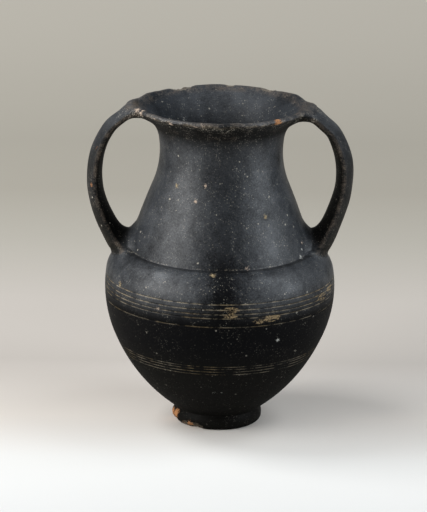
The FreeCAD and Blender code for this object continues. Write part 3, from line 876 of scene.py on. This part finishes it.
def swell_strap(piece):
    """Grid of the strap's vertices, smoothed towards the vessel's wall."""
    places = points_of(piece).reshape(STRAP_COLUMNS + 1, STRAP_ROWS, 3)
    along = np.gradient(places, axis=1)
    ring = places[:-1]
    around = (np.roll(ring, -1, 0) - np.roll(ring, 1, 0)) / 2
    around = np.concatenate([around, around[:1]])
    normal = np.cross(around, along)
    normal /= np.maximum(np.linalg.norm(normal, axis=2), 1e-9)[..., None]
    middle = places[:-1].mean(0)
    if ((places - middle) * normal).sum() < 0:
        normal = -normal
    away, out = beyond(wall_line, places.reshape(-1, 3))
    facing = np.cos(np.linspace(0, math.tau, STRAP_COLUMNS + 1))[:, None] * np.ones(STRAP_ROWS)
    row = np.ones(STRAP_COLUMNS + 1)[:, None] * np.arange(STRAP_ROWS)
    reach = reach_at(facing, row).ravel()
    rise = swelling(away, (normal.reshape(-1, 3) * out).sum(1), reach)
    rise = rise.reshape(STRAP_COLUMNS + 1, STRAP_ROWS, 1)
    lumps = grain(places.reshape(-1, 3), 7.0, 2.0).reshape(STRAP_COLUMNS + 1, STRAP_ROWS, 1)
    return places + normal * (rise + STRAP_LUMPS * lumps)


def trim_strap(places):
    """Cuts each run of vertices where it passes the middle of the vessel's wall, at both ends."""
    half_wall = wall_line - outward(wall_line) * wall_at[:, None] * 0.5
    top = np.array([half_wall[-1] + (0.2, 1.0), half_wall[-1] + (0.2, 12.0)])
    limit = np.concatenate([half_wall, straight([tuple(p) for p in top])])
    away, _ = beyond(limit, places.reshape(-1, 3))
    away = away.reshape(places.shape[:2])
    trimmed = np.empty_like(places)
    for column, depth in enumerate(away):
        out = np.flatnonzero(depth > 0)
        first, last = out[0], out[-1]
        start = first - depth[first] / (depth[first] - depth[first - 1])
        end = last + depth[last] / (depth[last] - depth[last + 1])
        rows = np.linspace(start, end, STRAP_ROWS)
        for axis in range(3):
            trimmed[column, :, axis] = np.interp(rows, np.arange(STRAP_ROWS), places[column, :, axis])
    return trimmed


def close_and_orient(piece):
    """Merges the seam, closes the ends and turns every face outwards."""
    work = bmesh.new()
    work.from_mesh(piece.data)
    bmesh.ops.remove_doubles(work, verts=work.verts, dist=0.002 * MM)
    caps = bmesh.ops.holes_fill(work, edges=[edge for edge in work.edges if edge.is_boundary], sides=0)
    bmesh.ops.poke(work, faces=caps["faces"])
    bmesh.ops.recalc_face_normals(work, faces=work.faces)
    work.to_mesh(piece.data)
    work.free()


straps = []
drawn = {}
draw = strap_tree(clay)
for name, strap in STRAPS.items():
    path = strap_path(name + "_path", strap)
    piece = grow(name, draw, {"Path": path})
    bpy.data.objects.remove(path)
    faces = [tuple(face.vertices) for face in piece.data.polygons]
    drawn[strap["side"]] = BVHTree.FromPolygons(points_of(piece).tolist(), faces)
    trimmed = trim_strap(swell_strap(piece))
    keep_values(piece, "strap", np.ones(len(piece.data.vertices)))
    piece.data.vertices.foreach_set("co", (trimmed * MM).ravel())
    close_and_orient(piece)
    straps.append(piece)


# How far under the wall's face a vertex still counts as outside, how near a strap has to be to raise
# it, and a place outside each strap's bend, as radius and height.
SKIN = 0.7
STRAP_NEAR = 12.0
STRAP_OUTSIDE = 63.5
STRAP_MIDDLE = 89.5


def turned_outwards(side, normal):
    """A direction square to the drawn strap, turned the way that leads out of its clay."""
    outside = drawn[side].find_nearest(Vector((side * STRAP_OUTSIDE, 0, STRAP_MIDDLE)))[1]
    return normal if outside.x * side > 0 else -normal


def swell_vessel(piece):
    """Raises the vessel's outside where a strap is pressed on to it."""
    places = points_of(piece)
    away, out = beyond(wall_line - outward(wall_line) * SKIN, places)
    beside = (np.abs(places[:, 1]) < 20) & (np.abs(places[:, 0]) > 16) & (places[:, 2] > 50)
    near = np.flatnonzero((away > 0) & beside)
    rise = np.zeros(len(places))
    for index in near:
        side = -1 if places[index, 0] < 0 else 1
        found, normal, face, _ = drawn[side].find_nearest(Vector(places[index]), STRAP_NEAR)
        if found is None:
            continue
        column, row = divmod(face, STRAP_ROWS - 1)
        facing = math.cos((column + 0.5) / STRAP_COLUMNS * math.tau)
        outwards = turned_outwards(side, normal)
        gap = (Vector(places[index]) - found).dot(outwards)
        reach = reach_at(np.array([facing]), np.array([row]))
        cosine = np.array([Vector(out[index]).dot(outwards)])
        rise[index] = swelling(np.array([gap]), cosine, reach)[0]
    places += out * rise[:, None]
    piece.data.vertices.foreach_set("co", (places * MM).ravel())


swell_vessel(vessel)
close_and_orient(vessel)


# The joint of strap and wall: how wide the wet clay was smoothed, and how many times over.
SEAM_WIDTH = 2.2
SEAM_PASSES = 14


def join(name, first, others):
    """One closed mesh of the vessel and its straps, softened along the joints."""
    sources = [first, *others]
    labels = ("line", "edge", "broken", "strap")
    points = np.concatenate([points_of(piece) for piece in sources])
    held = {label: np.concatenate([values_of(piece, label) for piece in sources]) for label in labels}
    pair = bmesh.new()
    for other in others:
        pair.from_mesh(other.data)
    pair.to_mesh(others[0].data)
    pair.free()
    union = first.modifiers.new("join", "BOOLEAN")
    union.operation = "UNION"
    union.solver = "MANIFOLD"
    union.object = others[0]
    data = bpy.data.meshes.new_from_object(first.evaluated_get(bpy.context.evaluated_depsgraph_get()))
    data.name = name
    piece = bpy.data.objects.new(name, data)
    bpy.context.scene.collection.objects.link(piece)
    for source in sources:
        bpy.data.objects.remove(source)
    tree = KDTree(len(points))
    for index, point in enumerate(points):
        tree.insert(point, index)
    tree.balance()
    work = bmesh.new()
    work.from_mesh(data)
    bmesh.ops.poke(work, faces=[face for face in work.faces if len(face.verts) > 4])
    work.verts.ensure_lookup_table()
    found = [tree.find(vertex.co / MM) for vertex in work.verts]
    seam = [vertex for vertex, hit in zip(work.verts, found) if hit[2] > 0.01]
    seam_tree = KDTree(len(seam) + 1)
    for index, vertex in enumerate(seam):
        seam_tree.insert(vertex.co, index)
    seam_tree.balance()
    soft = [vertex for vertex in work.verts if (seam_tree.find(vertex.co)[2] or 0) < SEAM_WIDTH * MM]
    for _ in range(SEAM_PASSES):
        bmesh.ops.smooth_vert(
            work, verts=soft, factor=0.5, use_axis_x=True, use_axis_y=True, use_axis_z=True
        )
    work.to_mesh(data)
    work.free()
    for label in labels:
        keep_values(piece, label, [held[label][hit[1]] for hit in found])
    return piece


amphora = join("amphora_clay", vessel, straps)
for polygon in amphora.data.polygons:
    polygon.use_smooth = True
amphora.data.materials.clear()
amphora.data.materials.append(clay)

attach(amphora, "root")
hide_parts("amphora")

# Camera: a long lens about a metre away that looks a little down and is rolled a touch, so that the
# rim, the incised rings and the foot lie where the photo shows them.
PITCH = math.radians(16.30)
ROLL = math.radians(0.775)
DISTANCE = 1.1113
AIM = Vector((-0.0022, 0.0, 0.05994))
LENS = 221.4
SENSOR_WIDTH = 36.0
FARTHEST = 10.0
camera_data = bpy.data.cameras.new("camera")
camera_data.lens = LENS
camera_data.sensor_width = SENSOR_WIDTH
camera_data.clip_end = FARTHEST
camera = bpy.data.objects.new("camera", camera_data)
bpy.context.scene.collection.objects.link(camera)
camera.location = AIM + DISTANCE * Vector((0, -math.cos(PITCH), math.sin(PITCH)))
unrolled = (AIM - camera.location).to_track_quat("-Z", "Y")
camera.rotation_mode = "QUATERNION"
camera.rotation_quaternion = unrolled @ Quaternion((0, 0, 1), ROLL)
bpy.context.scene.camera = camera

# Paper that the vessel stands on: one wide level sheet of card, whose tone falls from nearly white in front
# to
# a warm grey behind: painted shade, standing in for the light falling off across the card.
PAPER_TONES = [
    # how far back, in metres, and the tone there
    (-0.100, (0.650, 0.645, 0.630)),
    (-0.045, (0.715, 0.704, 0.678)),
    (0.000, (0.740, 0.690, 0.634)),
    (0.064, (0.470, 0.432, 0.393)),
    (0.142, (0.470, 0.433, 0.392)),
    (0.230, (0.402, 0.376, 0.327)),
    (0.310, (0.362, 0.335, 0.285)),
    (0.400, (0.376, 0.349, 0.297)),
    (0.520, (0.450, 0.418, 0.358)),
    (0.740, (0.610, 0.568, 0.490)),
    (1.100, (0.760, 0.710, 0.620)),
]
PAPER_REACH = 5.0


def paper_sheet():
    """Level square sheet under the vessel."""
    signs = ((-1, -1), (1, -1), (1, 1), (-1, 1))
    corners = [(side * PAPER_REACH, end * PAPER_REACH, 0.0) for side, end in signs]
    data = bpy.data.meshes.new("paper")
    data.from_pydata(corners, [], [(0, 1, 2, 3)])
    sheet = bpy.data.objects.new("paper", data)
    bpy.context.scene.collection.objects.link(sheet)
    return sheet


def paper_material():
    """Matt card whose tone changes with how far back it lies, as painted fall-off of the light."""
    material = bpy.data.materials.new("paper")
    material.use_nodes = True
    material.node_tree.nodes.clear()
    nodes = Nodes(material.node_tree)
    here = nodes.add("ShaderNodeTexCoord", output="Object")
    back = nodes.add("ShaderNodeSeparateXYZ", None, {"Vector": here}, output="Y")
    first, last = PAPER_TONES[0][0], PAPER_TONES[-1][0]
    stops = [((at - first) / (last - first), (*tone, 1.0)) for at, tone in PAPER_TONES]
    tone = nodes.add("ShaderNodeValToRGB", {"stops": stops}, {"Fac": between(nodes, back, first, last)})
    surface = nodes.add("ShaderNodeBsdfDiffuse", None, {"Color": tone})
    end = nodes.tree.nodes.new("ShaderNodeOutputMaterial")
    nodes.tree.links.new(surface.socket, end.inputs["Surface"])
    return material


paper = paper_sheet()
paper.data.materials.append(paper_material())

# Light: a large soft box low on the left, a weaker and cooler one on the right, a smaller one higher up
# on each side, and a dim even room.
LAMP_AIM = Vector((0, 0, 0.07))
LAMPS = {
    # azimuth from the camera's side, height, distance, width, height of the box, watts, colour
    "left_box": (-64.0, 0.42, 0.95, 0.75, 0.95, 12.0, (1.0, 0.99, 0.975)),
    "right_box": (72.0, 0.42, 0.95, 0.50, 0.95, 7.4, (0.88, 0.94, 1.0)),
    "left_top_box": (-102.0, 1.00, 0.72, 0.50, 0.50, 8.0, (0.94, 0.97, 1.0)),
    "right_top_box": (94.0, 1.05, 0.66, 0.55, 0.45, 4.2, (0.88, 0.94, 1.0)),
}
ROOM = (0.21, 0.21, 0.21, 1.0)
for name, (azimuth, height, distance, width, tall, watts, color) in LAMPS.items():
    lamp = bpy.data.lights.new(name, "AREA")
    lamp.shape = "RECTANGLE"
    lamp.size = width
    lamp.size_y = tall
    lamp.energy = watts
    lamp.color = color
    box = bpy.data.objects.new(name, lamp)
    turn = math.radians(azimuth)
    box.location = (distance * math.sin(turn), -distance * math.cos(turn), height)
    box.rotation_mode = "QUATERNION"
    box.rotation_quaternion = (LAMP_AIM - box.location).to_track_quat("-Z", "Y")
    bpy.context.scene.collection.objects.link(box)
world = bpy.data.worlds.new("room")
world.use_nodes = True
world.node_tree.nodes["Background"].inputs["Color"].default_value = ROOM
bpy.context.scene.world = world
bpy.context.scene.view_settings.view_transform = "Standard"
